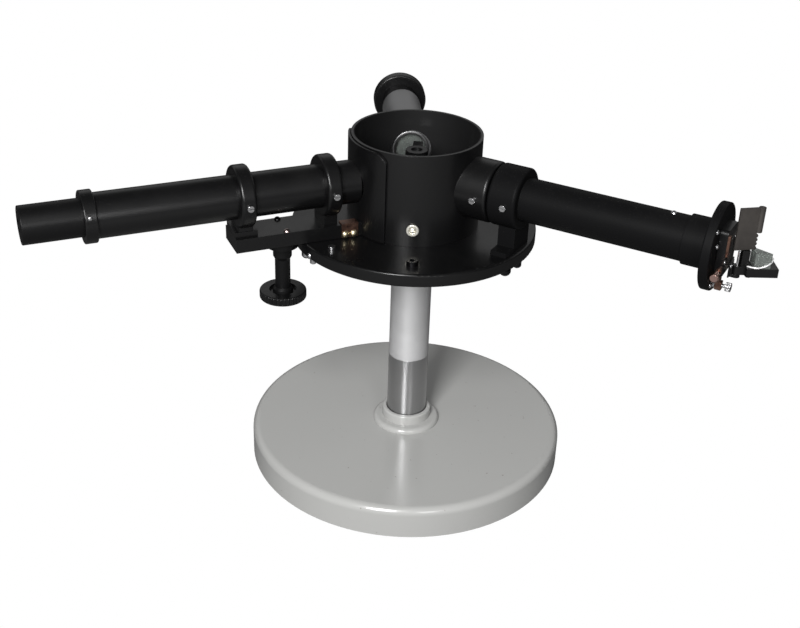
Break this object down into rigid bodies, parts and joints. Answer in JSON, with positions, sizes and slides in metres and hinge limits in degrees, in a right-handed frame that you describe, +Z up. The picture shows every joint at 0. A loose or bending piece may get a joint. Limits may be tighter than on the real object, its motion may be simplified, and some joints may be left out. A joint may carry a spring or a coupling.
{
  "type": "prism spectroscope",
  "caption": "Table prism spectroscope: swinging telescope, collimator with adjustable slit and scale tube round an open prism drum on a pillar and heavy round base.",
  "frame": {"origin": "middle of the base's underside, on the table", "axes": "+Z up along the pillar; -Y is the front; the telescope points to the left, the collimator to the right front and the scale tube to the back"},
  "size_m": [0.406, 0.2418, 0.2182],
  "materials": {
    "grey_enamel": "smooth glossy grey enamel",
    "black_enamel": "satin black enamel",
    "satin_aluminium": "fine turned satin aluminium",
    "polished_steel": "polished steel with fine turning marks",
    "bright_screws": "bright plated screws",
    "dark_screws": "blackened steel screws",
    "rosy_metal": "rosy polished metal",
    "brass": "plain brass",
    "copper": "copper coloured lacquered metal",
    "jaw_steel": "blackened ground steel",
    "grey_plate": "dull brownish grey plate",
    "optical_glass": "clear polished optical glass",
    "draw_black": "semi-gloss black"
  },
  "bodies": {
    "stand": {"base": "grey_enamel", "pillar_foot": "polished_steel", "pillar_tube": "satin_aluminium", "pillar_plug": "polished_steel", "carrier_disc": "black_enamel", "drum": "black_enamel", "drum_screws": "bright_screws", "drum_cups": "bright_screws", "disc_screw": "dark_screws", "stop_screws": "bright_screws", "under_screws": "bright_screws", "pivot_stud": "polished_steel", "prism_table": "black_enamel", "prism": "optical_glass", "clamp_bridge": "black_enamel", "collimator_post": "black_enamel", "collimator_tube": "black_enamel", "collimator_lens": "optical_glass", "collimator_screws": "bright_screws", "scale_tube": "satin_aluminium", "scale_lens": "optical_glass"},
    "prism_clamp": {"clamp_screw": "dark_screws"},
    "slit_head": {"slit_tube": "draw_black", "slit_flange": "black_enamel", "slit_plate": "black_enamel", "flange_screws": "bright_screws", "jaw_rails": "jaw_steel", "fixed_jaw": "jaw_steel", "jaw_spring": "copper", "screw_bush": "copper", "adjusting_tab": "copper", "pin_bracket": "black_enamel", "pivot_pin": "bright_screws"},
    "moving_jaw": {"sliding_jaw": "jaw_steel"},
    "slit_width_screw": {"slit_screw": "rosy_metal"},
    "adjusting_screw": {"adjusting_screw": "bright_screws"},
    "comparison_arm": {"prism_arm": "black_enamel", "comparison_prism": "optical_glass", "arm_knob": "dark_screws", "side_reflector": "grey_plate"},
    "scale_head": {"scale_draw_tube": "draw_black", "scale_cap": "black_enamel", "scale_glass": "optical_glass"},
    "telescope": {"telescope_arm": "black_enamel", "inner_ring_clamp": "black_enamel", "outer_ring_clamp": "black_enamel", "ring_screws": "bright_screws", "telescope_tube": "black_enamel", "telescope_collar": "black_enamel", "objective_lens": "optical_glass", "shield": "black_enamel", "shield_clip": "copper", "clip_screws": "brass", "arm_screws": "bright_screws", "drive_bush": "brass"},
    "drive": {"drive_spindle": "draw_black", "drive_knob": "draw_black"},
    "eyepiece": {"eyepiece_tube": "draw_black", "field_lens": "optical_glass", "eye_lens": "optical_glass"}
  },
  "joints": [
    {"name": "telescope_swing", "type": "hinge", "parent": "stand", "child": "telescope", "pos_m": [0, 0, 0.167], "axis": [0, 0, 1], "range_deg": [-6.5, 6.5]},
    {"name": "drive_turn", "type": "hinge", "parent": "telescope", "child": "drive", "pos_m": [-0.07592, -0.03428, 0.14], "axis": [0, 0, 1], "range_deg": [-50, 50]},
    {"name": "eyepiece_focus", "type": "slide", "parent": "telescope", "child": "eyepiece", "axis": [-0.9114, -0.4115, 0], "range_m": [-0.02, 0.015]},
    {"name": "slit_focus", "type": "slide", "parent": "stand", "child": "slit_head", "axis": [0.887, -0.4617, 0], "range_m": [0, 0.015]},
    {"name": "slit_screw_turn", "type": "hinge", "parent": "slit_head", "child": "slit_width_screw", "pos_m": [0.16091, -0.09729, 0.1833], "axis": [-0.4617, -0.887, 0], "range_deg": [-130, 1085]},
    {"name": "jaw_slide", "type": "slide", "parent": "slit_head", "child": "moving_jaw", "axis": [-0.4617, -0.887, 0], "range_m": [-0.00014, 0.0012]},
    {"name": "comparison_swing", "type": "hinge", "parent": "slit_head", "child": "comparison_arm", "pos_m": [0.17252, -0.08981, 0.1847], "axis": [0, 0, 1], "range_deg": [0, 50]},
    {"name": "adjusting_turn", "type": "hinge", "parent": "slit_head", "child": "adjusting_screw", "pos_m": [0.16415, -0.09334, 0.1741], "axis": [0.887, -0.4617, 0], "range_deg": [-180, 180]},
    {"name": "scale_focus", "type": "slide", "parent": "stand", "child": "scale_head", "axis": [-0.1011, 0.9949, 0], "range_m": [-0.012, 0.012]},
    {"name": "clamp_turn", "type": "hinge", "parent": "stand", "child": "prism_clamp", "pos_m": [0, 0, 0.2], "axis": [0, 0, 1], "continuous": true}
  ],
  "couplings": [
    {"joint": "drive_turn", "follows": "telescope_swing", "ratio": 7.5876},
    {"joint": "slit_screw_turn", "follows": "jaw_slide", "rad_per_m": 15708}
  ]
}
